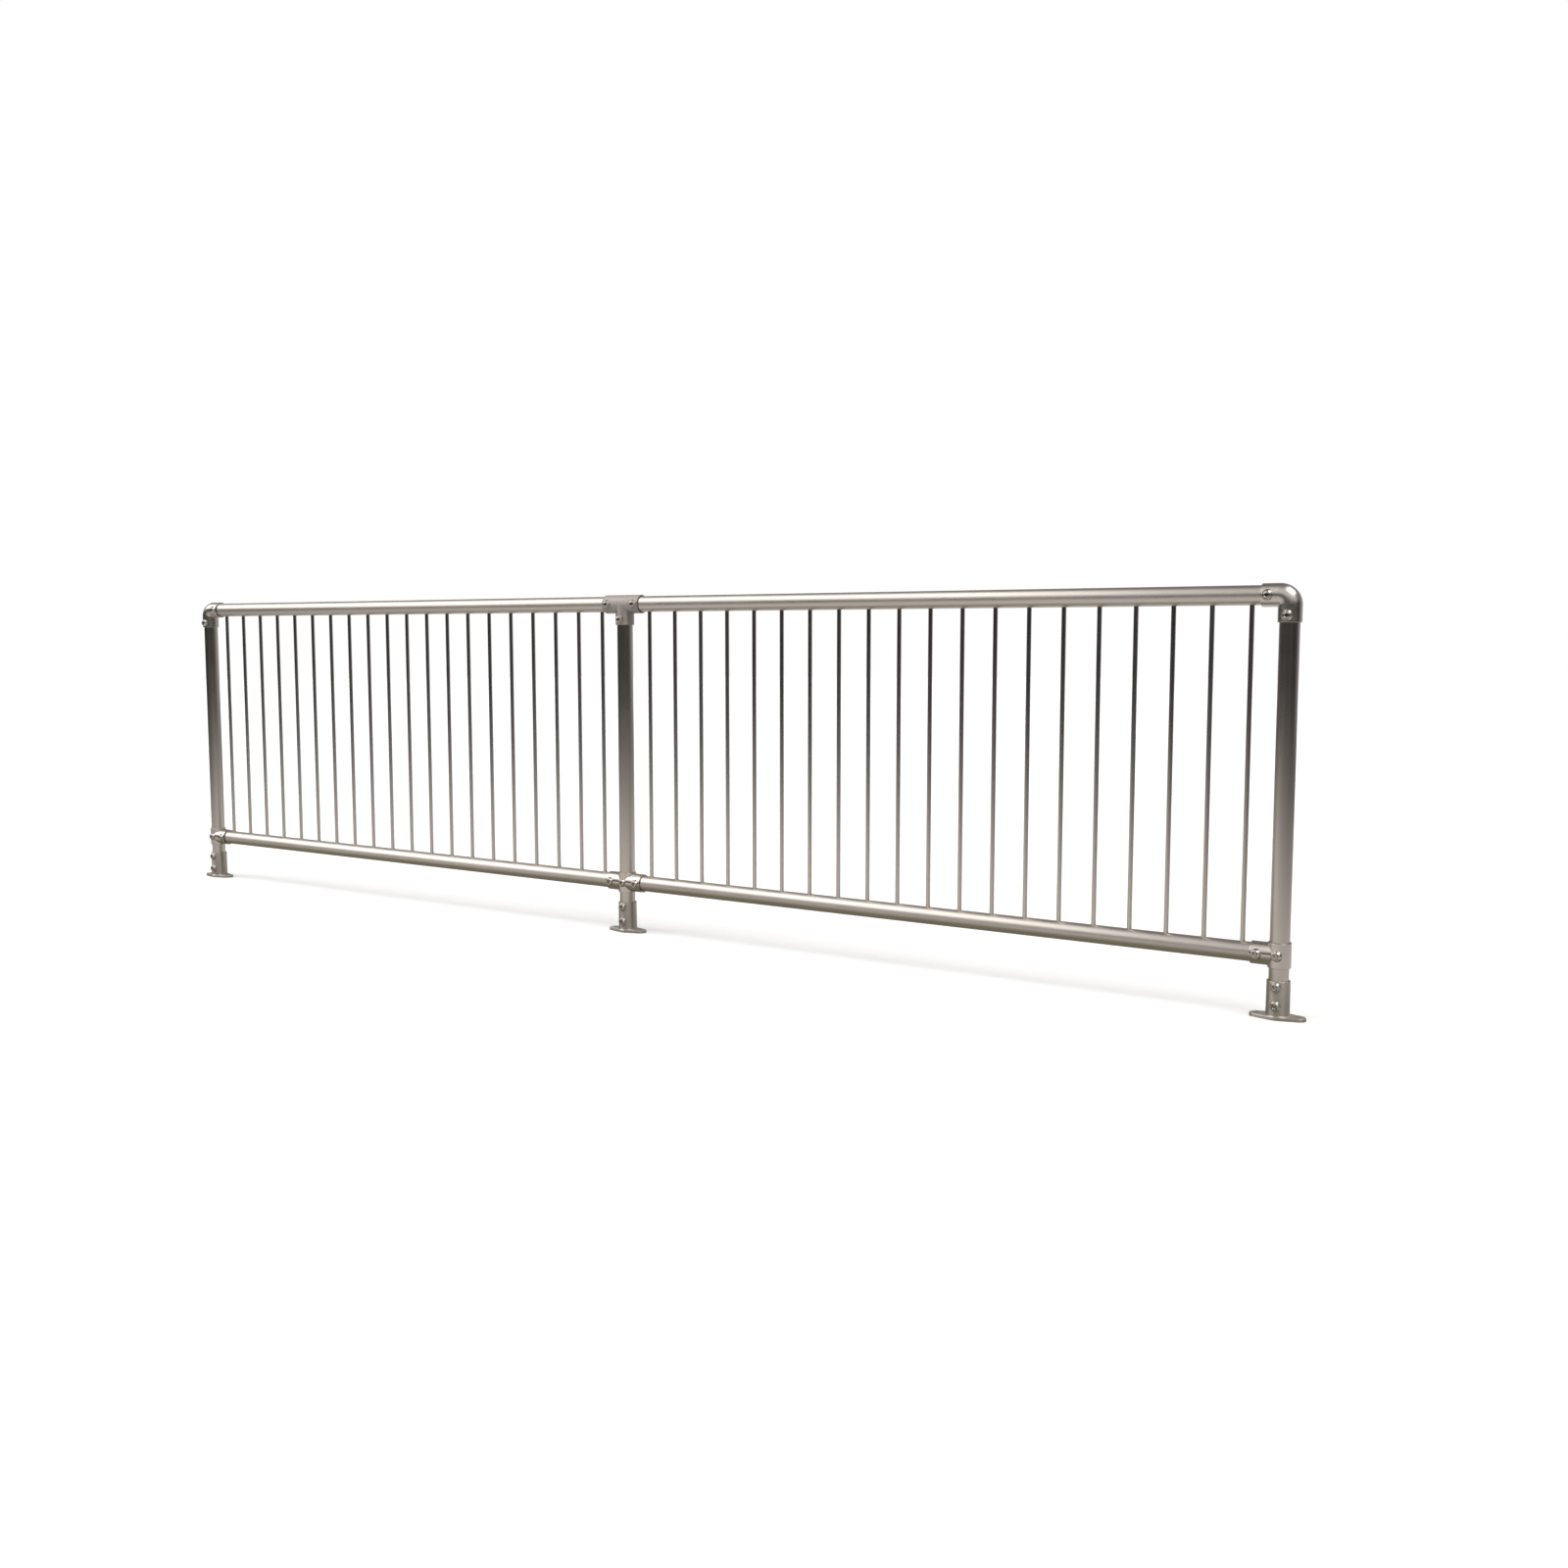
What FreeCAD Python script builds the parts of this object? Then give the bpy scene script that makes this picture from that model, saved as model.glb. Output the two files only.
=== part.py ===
import FreeCAD, Part
import math
import os

# Crowd control barrier: a two-bay tube railing on three bolt-down feet.
# Millimetres. +X runs along the railing, +Y away from the set screws' face, +Z up.
# Origin: on the ground, on the middle post's axis.

# Tube and bar
TUBE_OUTER_D = 48.3
TUBE_WALL = 3.2
BAR_D = 12.0

# Layout of the railing
BAY_LENGTH = 2032.0            # between the axes of neighbouring posts
TOP_RAIL_HEIGHT = 1028.0       # ground to the top rail's axis
BOTTOM_RAIL_HEIGHT = 157.5     # ground to the bottom rail's axis
BARS_PER_BAY = 20
FIRST_BAR_OFFSET = 97.5        # from a bay's left-hand post to its first bar
LAST_BAR_OFFSET = 90.5         # from a bay's last bar to its right-hand post
TOP_RAIL_HALF_GAP = 6.0        # from the middle post's axis to either top rail's end

# Fits
SOCKET_CLEARANCE = 0.35        # radial, tube in a casting's bore
SCREW_CLEARANCE = 0.1          # radial, set screw in its tapped hole
BAR_HOLE_CLEARANCE = 0.25      # radial, bar in a rail's drilled hole
BAR_SEAT_CLEARANCE = 0.1       # bar's foot above the bottom rail's inner wall
BAR_TOP_ENGAGEMENT = 30.0      # how far a bar reaches up into the top rail

# Castings
SOCKET_WALL = 4.0
STOP_LEDGE = 1.5               # ledge that a tube's end meets, thinnest beside the other axis's bore
MOUTH_ROUND = 1.0              # rounding of a socket's outer rim
BORE_LEAD_IN = 1.6             # chamfer at a bore's mouth
ELBOW_REACH = 65.5             # corner of the axes to either mouth
LONG_TEE_REACH = 69.0          # middle of the barrel to either of its mouths
LONG_TEE_BRANCH_REACH = 64.0   # barrel's axis to the branch's mouth
SHORT_BRANCH_REACH = 67.0      # post's axis to a bottom rail's socket mouth
SLEEVE_COLLAR = 2.5            # sleeve on a post beyond a bottom rail's socket, above and below

# Set screws and their bosses
SCREW_D = 16.5
SCREW_HEX_AF = 8.0
SCREW_HEX_DEPTH = 6.5          # below the top of the screw
SCREW_TIP_CHAMFER = 1.2
SCREW_CROWN = 1.5              # rise of the screw's domed end above its boss's face
SCREW_COUNTERSINK = 0.5        # widening of the hexagon's mouth, radial
SCREW_FROM_MOUTH = 17.0        # screw's axis back from the mouth of its socket
BOSS_HEIGHT = 6.0              # boss's face above the socket's wall
BOSS_RIM = 0.9                 # boss's face beyond the screw's hole, radial
BOSS_SINK = 10.6               # boss's face above the middle of the ball it is part of

# Base flange
PLATE_THICKNESS = 8.5
PLATE_RIM = 4.0                # plate's waist beyond the socket's wall
PLATE_END_R = 19.5
PLATE_EDGE_ROUND = 2.0
BOLT_SPACING = 98.0
BOLT_HOLE_D = 14.0
FLANGE_HEIGHT = 94.7
FLANGE_LOW_SCREW = 34.3        # ground to the lower set screw's axis
FLANGE_HIGH_SCREW = 80.5       # ground to the upper set screw's axis
FLANGE_FOOT_ROUND = 2.5        # fillet between the plate and its socket
POST_SEAT_HEIGHT = 3.5         # ledge that the post stands on
DRAIN_HOLE_D = 38.0

# Worked out from the sizes above
TUBE_R = TUBE_OUTER_D / 2
TUBE_INNER_R = TUBE_R - TUBE_WALL
BORE_R = TUBE_R + SOCKET_CLEARANCE
SOCKET_R = BORE_R + SOCKET_WALL
SLEEVE_LENGTH = 2 * (SOCKET_R + SLEEVE_COLLAR)
PLATE_WIDTH = 2 * (SOCKET_R + PLATE_RIM)
BOSS_FACE = SOCKET_R + BOSS_HEIGHT
SCREW_HOLE_R = SCREW_D / 2 + SCREW_CLEARANCE
BOSS_FACE_R = SCREW_HOLE_R + BOSS_RIM
BOSS_R = math.hypot(BOSS_FACE_R, BOSS_SINK)
SCREW_TOP = BOSS_FACE + SCREW_CROWN
CROWN_R = ((SCREW_D / 2) ** 2 + SCREW_CROWN ** 2) / (2 * SCREW_CROWN)
BAR_HOLE_R = BAR_D / 2 + BAR_HOLE_CLEARANCE
BAR_PITCH = (BAY_LENGTH - FIRST_BAR_OFFSET - LAST_BAR_OFFSET) / (BARS_PER_BAY - 1)
# A bar's flat foot meets the round inner wall of the bottom rail at the bar's sides.
BAR_FOOT = BOTTOM_RAIL_HEIGHT - math.sqrt(TUBE_INNER_R ** 2 - (BAR_D / 2) ** 2) + BAR_SEAT_CLEARANCE
BAR_HEAD = TOP_RAIL_HEIGHT - TUBE_R + BAR_TOP_ENGAGEMENT
TUBE_STOP = BORE_R + STOP_LEDGE  # corner of the axes to a tube's end, in an elbow or the long tee
POST_TOP = TOP_RAIL_HEIGHT - TUBE_STOP
SLEEVE_HALF = SLEEVE_LENGTH / 2
POST_X = {"left": -BAY_LENGTH, "middle": 0.0, "right": BAY_LENGTH}

RIGHT = FreeCAD.Vector(1, 0, 0)
LEFT = FreeCAD.Vector(-1, 0, 0)
UP = FreeCAD.Vector(0, 0, 1)
DOWN = FreeCAD.Vector(0, 0, -1)
FRONT = FreeCAD.Vector(0, -1, 0)


def point(x, y, z):
    return FreeCAD.Vector(x, y, z)


def cylinder(start, direction, length, radius):
    return Part.makeCylinder(radius, length, start, direction)


def round_rims(body, mouths):
    """Rounds the outer rims of a socket's body at its mouths."""
    rims = [e for e in body.Edges if any(e.CenterOfMass.distanceToPoint(m) < 1e-6 for m in mouths)]
    return body.makeFillet(min(MOUTH_ROUND, 0.45 * SOCKET_WALL), rims)


def barrel(start, direction, length):
    """Outer body of a socket, whose mouth is at the far end."""
    return round_rims(cylinder(start, direction, length, SOCKET_R), [start + direction * length])


def sleeve(centre, direction, half_length):
    """Outer body of a through socket, with a mouth at each end."""
    ends = [centre - direction * half_length, centre + direction * half_length]
    return round_rims(cylinder(ends[0], direction, 2 * half_length, SOCKET_R), ends)


def through_bore(centre, direction, half_length):
    """Cutter for a bore with a mouth at each end."""
    return bore(centre, direction, half_length).fuse(bore(centre, direction * -1, half_length))


def bore(start, direction, length):
    """Cutter for a socket's bore, with a chamfered lead-in at the mouth.

    It carries on past the mouth, so that a boss near the rim leaves nothing in the tube's way.
    """
    lead_in = Part.makeCone(
        BORE_R, BORE_R + 2 * BORE_LEAD_IN, 2 * BORE_LEAD_IN,
        start + direction * (length - BORE_LEAD_IN), direction)
    return cylinder(start, direction, length + BOSS_R, BORE_R).fuse(lead_in)


def stopped_bore(corner, direction, reach):
    """Cutter for a socket that opens, past the ledge where its tube stops, into a narrower passage."""
    passage = cylinder(corner + direction * BORE_R, direction, STOP_LEDGE + 1, TUBE_INNER_R)
    return bore(corner + direction * TUBE_STOP, direction, reach - TUBE_STOP).fuse(passage)


def boss(centre):
    """Domed pad, part of a ball with a flat face, on the front of a socket whose axis meets centre."""
    face_latitude = math.degrees(math.atan2(BOSS_SINK, BOSS_FACE_R))
    return Part.makeSphere(
        BOSS_R, centre + FRONT * (BOSS_FACE - BOSS_SINK), FRONT, -90, face_latitude, 360)


def screw_hole(centre):
    return cylinder(centre, FRONT, BOSS_FACE + 1, SCREW_HOLE_R)


def hexagon_prism(centre, across_flats, depth):
    """Hexagonal socket cutter that runs back from centre, which lies on a screw's outer face."""
    corner_r = across_flats / math.sqrt(3)
    turns = [math.radians(60 * i + 30) for i in range(7)]
    corners = [centre + point(corner_r * math.cos(t), 0, corner_r * math.sin(t)) for t in turns]
    return Part.Face(Part.makePolygon(corners)).extrude(FRONT * -depth)


def set_screw(centre):
    """Socket set screw whose flat tip bears on the tube and whose domed end tops its boss."""
    tip = centre + FRONT * TUBE_R
    top = centre + FRONT * SCREW_TOP
    body = cylinder(tip, FRONT, SCREW_TOP - TUBE_R, SCREW_D / 2)
    body = body.common(Part.makeSphere(CROWN_R, top - FRONT * CROWN_R))
    tip_edges = [e for e in body.Edges if e.CenterOfMass.distanceToPoint(tip) < 1e-6]
    body = body.makeChamfer(SCREW_TIP_CHAMFER, tip_edges)
    mouth_r = SCREW_HEX_AF / math.sqrt(3)
    countersink = Part.makeCone(
        mouth_r - SCREW_COUNTERSINK, mouth_r + 2 * SCREW_COUNTERSINK, 3 * SCREW_COUNTERSINK,
        top - FRONT * 3 * SCREW_COUNTERSINK, FRONT)
    return body.cut(hexagon_prism(top, SCREW_HEX_AF, SCREW_HEX_DEPTH)).cut(countersink)


def finish_casting(bodies, screws, cutters):
    """Joins a casting's outer bodies with its bosses, then cuts its bores and screw holes."""
    outer = bodies[0].multiFuse(bodies[1:] + [boss(centre) for centre in screws])
    return outer.cut(cutters + [screw_hole(centre) for centre in screws])


# The screws of each casting, as points on its sockets' axes.

def elbow_screws(side):
    x = POST_X[side]
    inward = 1 if side == "left" else -1
    back = ELBOW_REACH - SCREW_FROM_MOUTH
    return [point(x + inward * back, 0, TOP_RAIL_HEIGHT), point(x, 0, TOP_RAIL_HEIGHT - back)]


def long_tee_screws():
    along = LONG_TEE_REACH - SCREW_FROM_MOUTH
    down = LONG_TEE_BRANCH_REACH - SCREW_FROM_MOUTH
    return [
        point(-along, 0, TOP_RAIL_HEIGHT),
        point(along, 0, TOP_RAIL_HEIGHT),
        point(0, 0, TOP_RAIL_HEIGHT - down),
    ]


def branch_directions(side):
    """The ways in which bottom rails leave a post."""
    return {"left": [RIGHT], "middle": [LEFT, RIGHT], "right": [LEFT]}[side]


def sleeve_screws(side):
    centre = point(POST_X[side], 0, BOTTOM_RAIL_HEIGHT)
    out = SHORT_BRANCH_REACH - SCREW_FROM_MOUTH
    return [centre] + [centre + way * out for way in branch_directions(side)]


def flange_screws(side):
    return [point(POST_X[side], 0, z) for z in (FLANGE_LOW_SCREW, FLANGE_HIGH_SCREW)]


def top_fitting_screws(side):
    return long_tee_screws() if side == "middle" else elbow_screws(side)


def elbow():
    """Left-hand elbow: two sockets joined by a quarter bend whose centreline radius is the bore's."""
    corner = point(POST_X["left"], 0, TOP_RAIL_HEIGHT)
    leg = ELBOW_REACH - BORE_R
    across = corner + RIGHT * BORE_R
    below = corner + DOWN * BORE_R
    pivot = across + DOWN * BORE_R

    def bend(radius):
        # The disc is clipped at the pivot, so that the turned solid doesn't cross itself.
        disc = Part.Face(Part.Wire(Part.makeCircle(radius, below, UP)))
        clip = Part.makePlane(2 * SOCKET_R, 2 * SOCKET_R, pivot - point(2 * SOCKET_R, SOCKET_R, 0))
        return disc.common(clip).Faces[0].revolve(pivot, FRONT * -1, 90)

    bodies = [bend(SOCKET_R), barrel(across, RIGHT, leg), barrel(below, DOWN, leg)]
    cutters = [
        bend(TUBE_INNER_R),
        stopped_bore(corner, RIGHT, ELBOW_REACH),
        stopped_bore(corner, DOWN, ELBOW_REACH),
    ]
    return finish_casting(bodies, elbow_screws("left"), cutters)


def long_tee():
    """Through barrel for both top rails, with a branch down to the middle post."""
    centre = point(0, 0, TOP_RAIL_HEIGHT)
    bodies = [sleeve(centre, RIGHT, LONG_TEE_REACH), barrel(centre, DOWN, LONG_TEE_BRANCH_REACH)]
    cutters = [
        through_bore(centre, RIGHT, LONG_TEE_REACH),
        cylinder(centre, DOWN, TUBE_STOP + 1, TUBE_INNER_R),
        bore(centre + DOWN * TUBE_STOP, DOWN, LONG_TEE_BRANCH_REACH - TUBE_STOP),
    ]
    return finish_casting(bodies, long_tee_screws(), cutters)


def sleeve_fitting(side):
    """Ring that slides over a post, with a blind socket for each bottom rail."""
    centre = point(POST_X[side], 0, BOTTOM_RAIL_HEIGHT)
    ways = branch_directions(side)
    bodies = [sleeve(centre, UP, SLEEVE_HALF)]
    bodies += [barrel(centre, way, SHORT_BRANCH_REACH) for way in ways]
    cutters = [through_bore(centre, UP, SLEEVE_HALF)]
    cutters += [bore(centre + way * SOCKET_R, way, SHORT_BRANCH_REACH - SOCKET_R) for way in ways]
    return finish_casting(bodies, sleeve_screws(side), cutters)


def mirrored(shape):
    """The right-hand casting that matches a left-hand one."""
    return shape.mirror(point(0, 0, 0), RIGHT)


def plate_outline(x):
    """Oval outline of a foot's plate: a middle circle and two end circles with shared tangents."""
    middle_r = PLATE_WIDTH / 2
    reach = BOLT_SPACING / 2
    lean = math.acos((middle_r - PLATE_END_R) / reach)
    across = point(math.cos(lean), math.sin(lean), 0)

    def on_circle(centre_x, radius, x_sign, y_sign):
        offset = point(x_sign * across.x * radius, y_sign * across.y * radius, 0)
        return point(centre_x, 0, 0) + offset

    def arc(start, middle, end):
        return Part.Arc(start, middle, end).toShape()

    far, near = x + reach, x - reach
    tips = [point(far + PLATE_END_R, 0, 0), point(near - PLATE_END_R, 0, 0)]
    back = [on_circle(x, middle_r, 1, 1), on_circle(x, middle_r, -1, 1)]
    front = [on_circle(x, middle_r, 1, -1), on_circle(x, middle_r, -1, -1)]
    far_ends = [on_circle(far, PLATE_END_R, 1, -1), on_circle(far, PLATE_END_R, 1, 1)]
    near_ends = [on_circle(near, PLATE_END_R, -1, 1), on_circle(near, PLATE_END_R, -1, -1)]
    edges = [
        arc(far_ends[0], tips[0], far_ends[1]),
        Part.LineSegment(far_ends[1], back[0]).toShape(),
        arc(back[0], point(x, middle_r, 0), back[1]),
        Part.LineSegment(back[1], near_ends[0]).toShape(),
        arc(near_ends[0], tips[1], near_ends[1]),
        Part.LineSegment(near_ends[1], front[1]).toShape(),
        arc(front[1], point(x, -middle_r, 0), front[0]),
        Part.LineSegment(front[0], far_ends[0]).toShape(),
    ]
    return Part.Wire(edges)


def base_flange(side):
    """Oval plate with two bolt holes and an upright socket that a post stands in."""
    x = POST_X[side]
    foot = point(x, 0, 0)
    plate = Part.Face(plate_outline(x)).extrude(UP * PLATE_THICKNESS)
    top_edges = [e for e in plate.Edges if e.BoundBox.ZMin > PLATE_THICKNESS - 1e-6]
    plate = plate.makeFillet(PLATE_EDGE_ROUND, top_edges)
    body = plate.fuse(barrel(foot, UP, FLANGE_HEIGHT))
    joint = [
        e for e in body.Edges
        if e.Closed and abs(e.CenterOfMass.z - PLATE_THICKNESS) < 1e-6
        and abs(e.Length - 2 * math.pi * SOCKET_R) < 1e-3
    ]
    body = body.makeFillet(FLANGE_FOOT_ROUND, joint)
    cutters = [
        bore(foot + UP * POST_SEAT_HEIGHT, UP, FLANGE_HEIGHT - POST_SEAT_HEIGHT),
        cylinder(foot + DOWN, UP, POST_SEAT_HEIGHT + 2, DRAIN_HOLE_D / 2),
    ]
    for way in (LEFT, RIGHT):
        hole = foot + way * (BOLT_SPACING / 2) + DOWN
        cutters.append(cylinder(hole, UP, PLATE_THICKNESS + 2, BOLT_HOLE_D / 2))
    return finish_casting([body], flange_screws(side), cutters)


def tube(start, direction, length):
    outer = cylinder(start, direction, length, TUBE_R)
    return outer.cut(cylinder(start - direction, direction, length + 2, TUBE_INNER_R))


def post(side):
    start = point(POST_X[side], 0, POST_SEAT_HEIGHT)
    return tube(start, UP, POST_TOP - POST_SEAT_HEIGHT)


def bar_positions(side):
    """Places of a bay's bars along X, from the bay's left-hand post."""
    left_post = POST_X["left"] if side == "left" else POST_X["middle"]
    return [left_post + FIRST_BAR_OFFSET + BAR_PITCH * i for i in range(BARS_PER_BAY)]


def top_rail(side):
    """Tube from an elbow to the long tee, drilled from below for the bars."""
    length = BAY_LENGTH - TUBE_STOP - TOP_RAIL_HALF_GAP
    left_end = -BAY_LENGTH + TUBE_STOP if side == "left" else TOP_RAIL_HALF_GAP
    body = tube(point(left_end, 0, TOP_RAIL_HEIGHT), RIGHT, length)
    axis = TOP_RAIL_HEIGHT
    return body.cut([cylinder(point(x, 0, axis), DOWN, SOCKET_R, BAR_HOLE_R) for x in bar_positions(side)])


def bottom_rail(side):
    """Tube between two sleeve fittings, drilled from above for the bars."""
    left_post = POST_X["left"] if side == "left" else POST_X["middle"]
    start = point(left_post + SOCKET_R, 0, BOTTOM_RAIL_HEIGHT)
    body = tube(start, RIGHT, BAY_LENGTH - 2 * SOCKET_R)
    axis = BOTTOM_RAIL_HEIGHT
    return body.cut([cylinder(point(x, 0, axis), UP, SOCKET_R, BAR_HOLE_R) for x in bar_positions(side)])


def bar(x):
    return cylinder(point(x, 0, BAR_FOOT), UP, BAR_HEAD - BAR_FOOT, BAR_D / 2)


def set_screws(side):
    """Every set screw round one post, as a group of separate solids."""
    centres = flange_screws(side) + sleeve_screws(side) + top_fitting_screws(side)
    return Part.makeCompound([set_screw(centre) for centre in centres])


def export(name, shape):
    shape.exportStep("parts/" + name + ".step")


os.makedirs("parts", exist_ok=True)

for side in ("left", "middle", "right"):
    export("post_" + side, post(side))
    export("base_flange_" + side, base_flange(side))
    export("set_screws_" + side, set_screws(side))

export("long_tee", long_tee())
export("two_socket_cross", sleeve_fitting("middle"))

for name, casting in (("elbow_", elbow()), ("short_tee_", sleeve_fitting("left"))):
    export(name + "left", casting)
    export(name + "right", mirrored(casting))

for side in ("left", "right"):
    export("top_rail_" + side, top_rail(side))
    export("bottom_rail_" + side, bottom_rail(side))
    for number, x in enumerate(bar_positions(side), start=1):
        export("bar_%s_%02d" % (side, number), bar(x))
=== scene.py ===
import math

import bpy
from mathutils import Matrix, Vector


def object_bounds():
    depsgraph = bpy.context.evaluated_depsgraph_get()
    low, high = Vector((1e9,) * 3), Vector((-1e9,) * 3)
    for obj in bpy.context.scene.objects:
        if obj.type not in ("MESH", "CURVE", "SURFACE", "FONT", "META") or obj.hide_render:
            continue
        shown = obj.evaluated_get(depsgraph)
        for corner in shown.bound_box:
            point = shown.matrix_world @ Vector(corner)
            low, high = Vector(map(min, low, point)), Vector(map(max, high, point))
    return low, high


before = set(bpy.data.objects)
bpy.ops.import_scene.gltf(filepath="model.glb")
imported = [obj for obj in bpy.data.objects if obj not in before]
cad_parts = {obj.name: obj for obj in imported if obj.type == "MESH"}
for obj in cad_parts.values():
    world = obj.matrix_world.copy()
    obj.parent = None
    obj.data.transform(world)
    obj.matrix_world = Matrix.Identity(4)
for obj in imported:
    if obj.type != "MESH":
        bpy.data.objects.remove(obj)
cad_low, cad_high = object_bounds()

# ---------------------------------------------------------------- camera and floor
# Metres, in the CAD's frame: +X along the railing, -Y towards the viewer, +Z up.

CAMERA_AT = (3.0294, -3.7324, 0.9313)
CAMERA_YAW = 33.163            # degrees to the left of +Y
CAMERA_PITCH = 5.541           # degrees below level
CAMERA_LENS = 35.13            # mm
SENSOR_WIDTH = 36.0            # mm

DISC_SIDES = 256
FLOOR_RADIUS = 30.0
FLOOR_COLOUR = (0.865, 0.86, 0.85)
FLOOR_CLOUDS = 1.3             # repeats per metre of the floor's unevenness
FLOOR_CLOUD_SHADE = 0.985
FLOOR_ROUGHNESS = 0.8
FLOOR_SPECULAR = 0.2
FLOOR_LIFT = 0.2               # the floor's own glow, so that it meets the backdrop without a line

# The lit patch is what the metal sees of the floor.
PATCH_RADIUS = 12.0
PATCH_DROP = 0.002             # how far it lies under the floor
PATCH_GLOW = (0.96, 0.945, 0.92)
# Its light, as (metres from the origin, share of its full glow).
PATCH_FADE = ((0.0, 0.85), (1.5, 1.0), (3.0, 0.75), (5.0, 0.45), (8.0, 0.2), (12.0, 0.05))
# A dimmer strip of it lies under the railing.
UNDERFOOT_GLOW = (0.27, 0.255, 0.19)
UNDERFOOT_SIDES = (0.12, 0.50)     # metres from the railing's line: strip up to here, none from here
UNDERFOOT_ENDS = (0.05, 0.30)      # the same, in metres past the railing's ends

# ---------------------------------------------------------------- sky
# A place in the sky is given by the X, Y and Z of its direction, from -1 to 1.

# Grey of the sky, as (Z, grey).
SKY_STOPS = ((0.0, 0.02), (0.09, 0.035), (0.24, 0.4), (0.45, 1.0), (0.8, 0.9), (1.0, 0.6))
FRONT_EDGE = (0.2, -0.3)       # along Y: least grey at the first, full grey at the second
BACK_SHARE = 0.3               # share of the grey that is left at the least
BACK_GLOW = 0.65               # added low down behind the railing
BACK_GLOW_Y = (0.1, 1.0)       # none of it at the first, all of it at the second
BACK_GLOW_Z = (0.6, 0.0)
BACKDROP = 1.0                 # brightness of the white that the camera sees

# Each soft box has a strength and its soft edges along each axis. At an edge's first number
# the box gives no light, and at its second number the edge leaves all of it.
SOFT_BOXES = (
    {"strength": 2.2, "X": [(-0.33, -0.42)], "Y": [(0.1, -0.15)], "Z": [(0.38, 0.58)]},
    {"strength": 1.8, "X": [(-0.62, -0.70)], "Y": [(0.0, -0.25)], "Z": [(0.14, 0.30), (0.62, 0.45)]},
    {"strength": 3.6, "X": [(0.15, 0.35), (0.85, 0.7)], "Y": [(0.5, 0.3), (-0.6, -0.4)],
     "Z": [(0.62, 0.75)]},
)

# ---------------------------------------------------------------- metal

ALONG_X = 0
ALONG_Z = 2

TUBE_COLOUR = (0.505, 0.458, 0.416)
CASTING_COLOUR = (0.51, 0.464, 0.424)
TEE_PAINTED_SHADE = 0.80               # the long tee's share of that colour, a darker copy that paints shade on it
CASTING_EDGE = 1.3             # how much brighter a casting's edges are, as rubbed wear and as a painted edge highlight
SCREW_COLOUR = (0.42, 0.395, 0.37)
SCREW_STAIN_SHADE = 0.85
SCREW_ROUGHNESS = (0.12, 0.2)  # least and most

# Patterns, in repeats per metre: along the grain, then across it.
SCRATCHES = (6.0, 700.0)
STREAKS = (1.6, 150.0)
BLOTCHES = 9.0                 # the same every way
TURNING_MARKS = 2200.0
STAINS = 220.0

NOISE_ROUGHNESS = 0.55
STREAK_SHARE = 0.65            # of the tone; the blotches give the rest
TONES = (0.95, 1.05)           # darkest and lightest share of the colour
STREAK_GLOSS = 0.025           # how far the streaks move the roughness either way
BLOTCH_GLOSS = (-0.015, 0.02)  # how far the blotches move it down and up
WEAR_AND_GLINT_AT = (0.53, 0.60)       # pointiness at which an edge starts to look rubbed and carry a painted highlight, and is fully so
WEAR_AND_GLINT_SHARE = 0.5             # of the brighter colour, on a fully rubbed edge with its painted highlight
# Bumps, as (strength, metres).
SCRATCH_BUMP = (0.02, 0.0003)
STREAK_BUMP = (0.03, 0.0006)
TURNING_BUMP = (0.03, 0.0002)
# The grain's axis leans by this much, so that no flat end is square to it.
GRAIN_LEAN = (0.013, 0.017, 0.011)


def shade(colour, factor):
    return tuple(c * factor for c in colour)


# ---------------------------------------------------------------- node helpers

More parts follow.
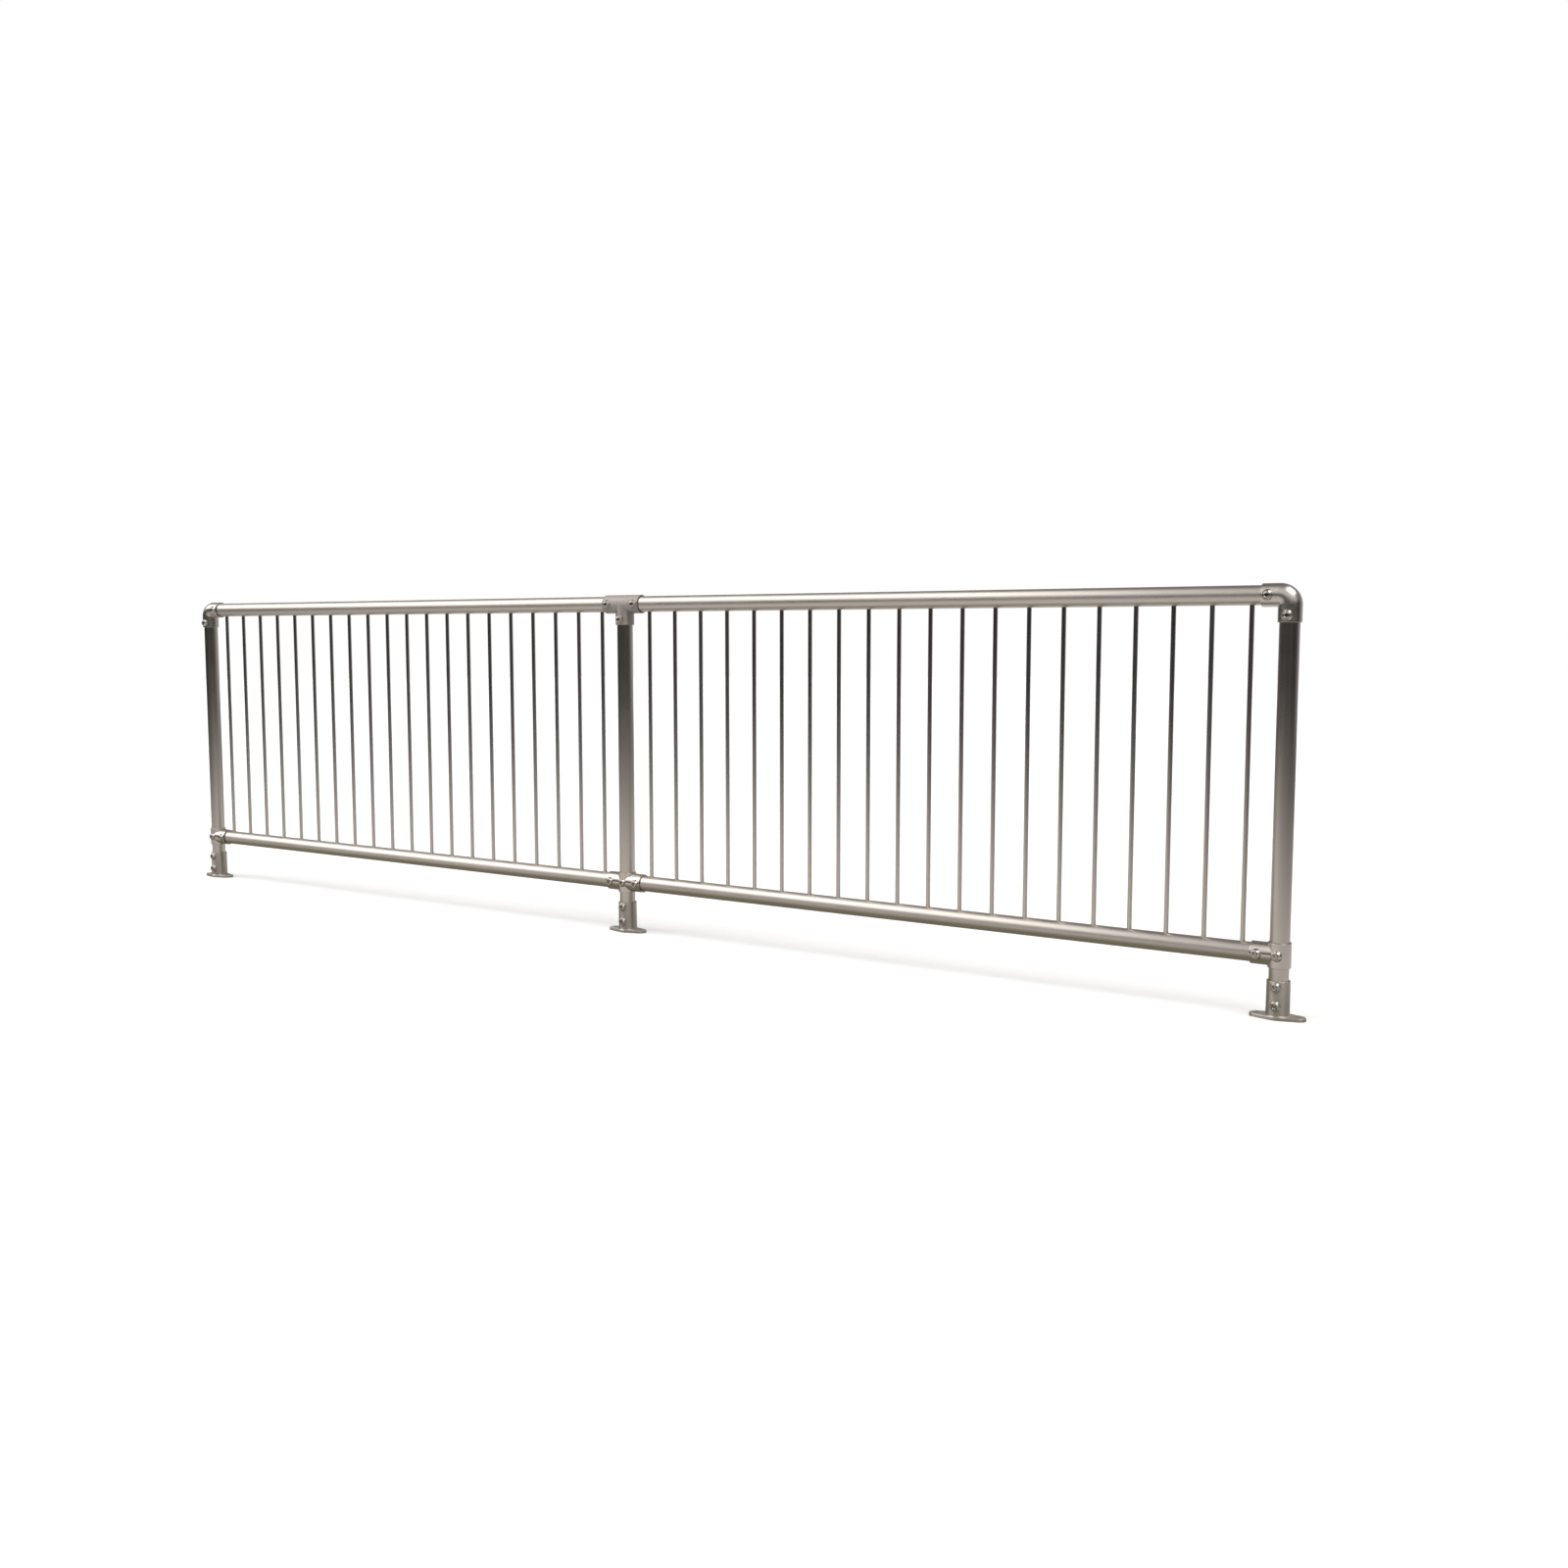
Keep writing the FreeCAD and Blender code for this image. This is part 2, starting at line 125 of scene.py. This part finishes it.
class Tree:
    """Builds a node tree with short calls."""

    def __init__(self, owner):
        owner.use_nodes = True
        self.nodes = owner.node_tree.nodes
        self.links = owner.node_tree.links

    def node(self, kind, **settings):
        made = self.nodes.new(kind)
        for key, value in settings.items():
            setattr(made, key, value)
        return made

    def link(self, source, target):
        self.links.new(source, target)

    def coordinates(self, stretch=(1.0, 1.0, 1.0)):
        """Object coordinates, stretched along the axes by the factors given."""
        place = self.node("ShaderNodeTexCoord")
        mapping = self.node("ShaderNodeMapping")
        mapping.inputs["Scale"].default_value = stretch
        self.link(place.outputs["Object"], mapping.inputs["Vector"])
        return mapping.outputs["Vector"]

    def noise(self, vector, scale, detail):
        made = self.node("ShaderNodeTexNoise")
        made.inputs["Scale"].default_value = scale
        made.inputs["Detail"].default_value = detail
        made.inputs["Roughness"].default_value = NOISE_ROUGHNESS
        self.link(vector, made.inputs["Vector"])
        return made.outputs["Fac"]

    def grained_noise(self, pattern, grain, detail):
        """Noise drawn out along the grain, an axis's index."""
        along, across = pattern
        stretch = [across, across, across]
        stretch[grain] = along
        return self.noise(self.coordinates(stretch), 1.0, detail)

    def remap(self, value, low, high, from_low=0.3, from_high=0.7):
        """Maps a value onto the range from low to high. A noise keeps mostly to 0.3 to 0.7."""
        made = self.node("ShaderNodeMapRange")
        made.inputs["From Min"].default_value = from_low
        made.inputs["From Max"].default_value = from_high
        made.inputs["To Min"].default_value = low
        made.inputs["To Max"].default_value = high
        self.link(value, made.inputs["Value"])
        return made.outputs["Result"]

    def step(self, value, dark, full):
        """0 at dark and past it, 1 at full and past it, and smooth between them."""
        made = self.node("ShaderNodeMapRange", interpolation_type="SMOOTHSTEP")
        made.inputs["From Min"].default_value = min(dark, full)
        made.inputs["From Max"].default_value = max(dark, full)
        made.inputs["To Min"].default_value = 0.0 if dark < full else 1.0
        made.inputs["To Max"].default_value = 1.0 if dark < full else 0.0
        self.link(value, made.inputs["Value"])
        return made.outputs["Result"]

    def ramp(self, value, stops):
        """Colour from a ramp with (position, colour) stops."""
        made = self.node("ShaderNodeValToRGB")
        elements = made.color_ramp.elements
        while len(elements) < len(stops):
            elements.new(0.5)
        for element, (position, colour) in zip(elements, stops):
            element.position = position
            element.color = (*colour, 1)
        self.link(value, made.inputs["Fac"])
        return made.outputs["Color"]

    def math(self, operation, a, b=0.0):
        """A and b are numbers or sockets."""
        made = self.node("ShaderNodeMath", operation=operation)
        for socket, value in zip(made.inputs, (a, b)):
            if isinstance(value, (int, float)):
                socket.default_value = value
            else:
                self.link(value, socket)
        return made.outputs["Value"]

    def product(self, values):
        total = values[0]
        for value in values[1:]:
            total = self.math("MULTIPLY", total, value)
        return total

    def mix_colour(self, factor, a, b):
        """A and b are colours or sockets."""
        made = self.node("ShaderNodeMix", data_type="RGBA")
        for side, colour in (("A", a), ("B", b)):
            if isinstance(colour, tuple):
                made.inputs[side].default_value = (*colour, 1)
            else:
                self.link(colour, made.inputs[side])
        self.link(factor, made.inputs["Factor"])
        return made.outputs["Result"]

    def bump(self, height, size, below=None):
        strength, distance = size
        made = self.node("ShaderNodeBump")
        made.inputs["Strength"].default_value = strength
        made.inputs["Distance"].default_value = distance
        self.link(height, made.inputs["Height"])
        if below is not None:
            self.link(below, made.inputs["Normal"])
        return made.outputs["Normal"]


class MaterialTree(Tree):
    """The node tree of a new material."""

    def __init__(self, name):
        self.material = bpy.data.materials.new(name)
        super().__init__(self.material)
        self.shader = self.nodes["Principled BSDF"]


# ---------------------------------------------------------------- materials

def satin_metal(name, colour, grain, rough, anisotropy, edge=1.0):
    """Satin metal with fine scratches along the grain, so that reflections blur across it.

    The grain is an axis's index, and edge is how much brighter the edges are (wear and painted
    highlight).
    """
    tree = MaterialTree(name)
    scratches = tree.grained_noise(SCRATCHES, grain, detail=2.0)
    streaks = tree.grained_noise(STREAKS, grain, detail=4.0)
    blotches = tree.noise(tree.coordinates(), BLOTCHES, detail=3.0)
    tone = tree.math("ADD", tree.math("MULTIPLY", streaks, STREAK_SHARE),
                     tree.math("MULTIPLY", blotches, 1 - STREAK_SHARE))
    darkest, lightest = (shade(colour, factor) for factor in TONES)
    tint = tree.mix_colour(tree.remap(tone, 0, 1), darkest, lightest)
    geometry = tree.node("ShaderNodeNewGeometry")
    # Sharp edges get a brighter colour: rubbed wear, and a painted highlight along the rims.
    wear_and_glint = tree.remap(geometry.outputs["Pointiness"], 0, WEAR_AND_GLINT_SHARE, *WEAR_AND_GLINT_AT)
    tree.link(tree.mix_colour(wear_and_glint, tint, shade(colour, edge)), tree.shader.inputs["Base Color"])
    gloss = tree.math("ADD", tree.remap(streaks, rough - STREAK_GLOSS, rough + STREAK_GLOSS),
                      tree.remap(blotches, *BLOTCH_GLOSS))
    tree.link(gloss, tree.shader.inputs["Roughness"])
    tree.link(tree.bump(scratches, SCRATCH_BUMP, tree.bump(streaks, STREAK_BUMP)),
              tree.shader.inputs["Normal"])
    # The tangent runs across the grain.
    across = tree.node("ShaderNodeVectorMath", operation="CROSS_PRODUCT")
    axis = list(GRAIN_LEAN)
    axis[grain] = 1.0
    across.inputs[1].default_value = axis
    tree.link(geometry.outputs["Normal"], across.inputs[0])
    tree.link(across.outputs["Vector"], tree.shader.inputs["Tangent"])
    tree.shader.inputs["Anisotropic"].default_value = anisotropy
    tree.shader.inputs["Metallic"].default_value = 1.0
    return tree.material


def screw_metal():
    """Polished metal with faint stains, and turning marks too fine to see one by one."""
    tree = MaterialTree("polished_screw")
    marks = tree.noise(tree.coordinates(), TURNING_MARKS, detail=2.0)
    stains = tree.noise(tree.coordinates(), STAINS, detail=3.0)
    tint = tree.mix_colour(tree.remap(stains, 0, 1), shade(SCREW_COLOUR, SCREW_STAIN_SHADE), SCREW_COLOUR)
    tree.link(tint, tree.shader.inputs["Base Color"])
    tree.link(tree.remap(stains, *SCREW_ROUGHNESS), tree.shader.inputs["Roughness"])
    tree.link(tree.bump(marks, TURNING_BUMP), tree.shader.inputs["Normal"])
    tree.shader.inputs["Metallic"].default_value = 1.0
    return tree.material


def floor_material():
    """Pale matt floor with the faintest unevenness."""
    tree = MaterialTree("pale_floor")
    clouds = tree.noise(tree.coordinates(), FLOOR_CLOUDS, detail=3.0)
    tint = tree.mix_colour(tree.remap(clouds, 0, 1), shade(FLOOR_COLOUR, FLOOR_CLOUD_SHADE), FLOOR_COLOUR)
    tree.link(tint, tree.shader.inputs["Base Color"])
    tree.shader.inputs["Roughness"].default_value = FLOOR_ROUGHNESS
    tree.shader.inputs["Specular IOR Level"].default_value = FLOOR_SPECULAR
    tree.shader.inputs["Emission Color"].default_value = (1, 1, 1, 1)
    tree.shader.inputs["Emission Strength"].default_value = FLOOR_LIFT
    return tree.material


def lit_patch_material():
    """Light that fades with distance, with a dim strip under the railing and just past its ends."""
    tree = MaterialTree("lit_patch")
    place = tree.node("ShaderNodeTexCoord").outputs["Object"]
    distance = tree.node("ShaderNodeVectorMath", operation="LENGTH")
    tree.link(place, distance.inputs[0])
    share = tree.math("DIVIDE", distance.outputs["Value"], PATCH_RADIUS)
    open_glow = tree.ramp(share, [(d / PATCH_RADIUS, shade(PATCH_GLOW, k)) for d, k in PATCH_FADE])
    axes = tree.node("ShaderNodeSeparateXYZ")
    tree.link(place, axes.inputs["Vector"])
    aside = tree.remap(tree.math("ABSOLUTE", axes.outputs["Y"]), 0, 1, *UNDERFOOT_SIDES)
    ends = [cad_high[0] + past for past in UNDERFOOT_ENDS]
    beyond = tree.remap(tree.math("ABSOLUTE", axes.outputs["X"]), 0, 1, *ends)
    glow = tree.node("ShaderNodeEmission")
    tree.link(tree.mix_colour(tree.math("MAXIMUM", aside, beyond), UNDERFOOT_GLOW, open_glow),
              glow.inputs["Color"])
    tree.link(glow.outputs["Emission"], tree.nodes["Material Output"].inputs["Surface"])
    tree.nodes.remove(tree.shader)
    return tree.material


def tube_metal(name, grain, rough):
    return satin_metal(name, TUBE_COLOUR, grain, rough, anisotropy=0.8)


# A tone below 1 gives a darker copy of the casting colour: painted shade.
def casting_metal(name, grain, rough, anisotropy, tone=1.0):
    return satin_metal(name, shade(CASTING_COLOUR, tone), grain, rough, anisotropy, CASTING_EDGE)


def dress(prefix, material):
    """Gives every CAD node whose name starts with the prefix this material."""
    for name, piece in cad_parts.items():
        if name.startswith(prefix):
            piece.data.materials.clear()
            piece.data.materials.append(material)


def dress_railing():
    level_tube = tube_metal("brushed_level_tube", ALONG_X, rough=0.30)
    socket_casting = casting_metal("satin_socket_casting", ALONG_Z, rough=0.23, anisotropy=0.5)
    elbow_casting = casting_metal("satin_elbow_casting", ALONG_X, rough=0.25, anisotropy=0.35)
    # The long tee gets a darker copy of the casting colour, as painted shade.
    tee_casting = casting_metal("satin_tee_casting_painted_shade", ALONG_X, rough=0.58, anisotropy=0.65,
                                tone=TEE_PAINTED_SHADE)
    dress("post_", tube_metal("brushed_upright_tube", ALONG_Z, rough=0.30))
    dress("top_rail_", level_tube)
    dress("bottom_rail_", level_tube)
    dress("bar_", tube_metal("brushed_bar", ALONG_Z, rough=0.27))
    dress("base_flange_", casting_metal("satin_foot_casting", ALONG_X, rough=0.40, anisotropy=0.8))
    dress("elbow_", elbow_casting)
    dress("long_tee", tee_casting)
    dress("short_tee_", socket_casting)
    dress("two_socket_cross", socket_casting)
    dress("set_screws_", screw_metal())


# ---------------------------------------------------------------- floor, light and camera

def add_disc(name, radius, drop, material):
    """Flat round sheet under the object, drop metres below its feet."""
    bpy.ops.mesh.primitive_circle_add(
        vertices=DISC_SIDES, radius=radius, fill_type="NGON", location=(0, 0, cad_low[2] - drop))
    disc = bpy.context.object
    disc.name = name
    disc.data.materials.append(material)
    return disc


def add_floor():
    """A wide pale floor for the eye, and a patch of light that only reflections see."""
    floor = add_disc("studio_floor", FLOOR_RADIUS, 0.0, floor_material())
    floor.visible_glossy = False
    patch = add_disc("lit_patch", PATCH_RADIUS, PATCH_DROP, lit_patch_material())
    patch.visible_camera = False
    patch.visible_diffuse = False
    patch.visible_shadow = False


def studio_light(sky, way):
    """Brightness of the studio: a dark band at eye level, a grey sky above it and soft boxes.

    The way is a direction's X, Y and Z, by name.
    """
    grey = sky.ramp(way["Z"], [(height, (level, level, level)) for height, level in SKY_STOPS])
    front = sky.math("MAXIMUM", sky.step(way["Y"], *FRONT_EDGE), BACK_SHARE)
    behind = sky.product([sky.step(way["Y"], *BACK_GLOW_Y), sky.step(way["Z"], *BACK_GLOW_Z)])
    total = sky.math("ADD", sky.math("MULTIPLY", grey, front), sky.math("MULTIPLY", behind, BACK_GLOW))
    for box in SOFT_BOXES:
        sides = [sky.step(way[axis], *edge) for axis in "XYZ" for edge in box[axis]]
        total = sky.math("ADD", total, sky.math("MULTIPLY", sky.product(sides), box["strength"]))
    return total


def add_studio():
    """A sky that lights the object as a soft studio does, and that the camera sees as plain white."""
    world = bpy.data.worlds.new("studio")
    bpy.context.scene.world = world
    sky = Tree(world)
    sky.nodes.clear()
    place = sky.node("ShaderNodeTexCoord")
    split = sky.node("ShaderNodeSeparateXYZ")
    sky.link(place.outputs["Generated"], split.inputs["Vector"])
    lit = sky.node("ShaderNodeBackground")
    sky.link(studio_light(sky, split.outputs), lit.inputs["Color"])
    seen = sky.node("ShaderNodeBackground")
    seen.inputs["Color"].default_value = (1, 1, 1, 1)
    seen.inputs["Strength"].default_value = BACKDROP
    path = sky.node("ShaderNodeLightPath")
    mix = sky.node("ShaderNodeMixShader")
    out = sky.node("ShaderNodeOutputWorld")
    sky.link(path.outputs["Is Camera Ray"], mix.inputs["Fac"])
    sky.link(lit.outputs["Background"], mix.inputs[1])
    sky.link(seen.outputs["Background"], mix.inputs[2])
    sky.link(mix.outputs["Shader"], out.inputs["Surface"])


def add_camera():
    data = bpy.data.cameras.new("camera")
    data.lens = CAMERA_LENS
    data.sensor_width = SENSOR_WIDTH
    camera = bpy.data.objects.new("camera", data)
    bpy.context.scene.collection.objects.link(camera)
    camera.location = CAMERA_AT
    camera.rotation_euler = (math.radians(90 - CAMERA_PITCH), 0, math.radians(CAMERA_YAW))
    bpy.context.scene.camera = camera


dress_railing()
add_floor()
add_studio()
add_camera()
bpy.context.scene.view_settings.view_transform = "Standard"

bpy.context.view_layer.update()
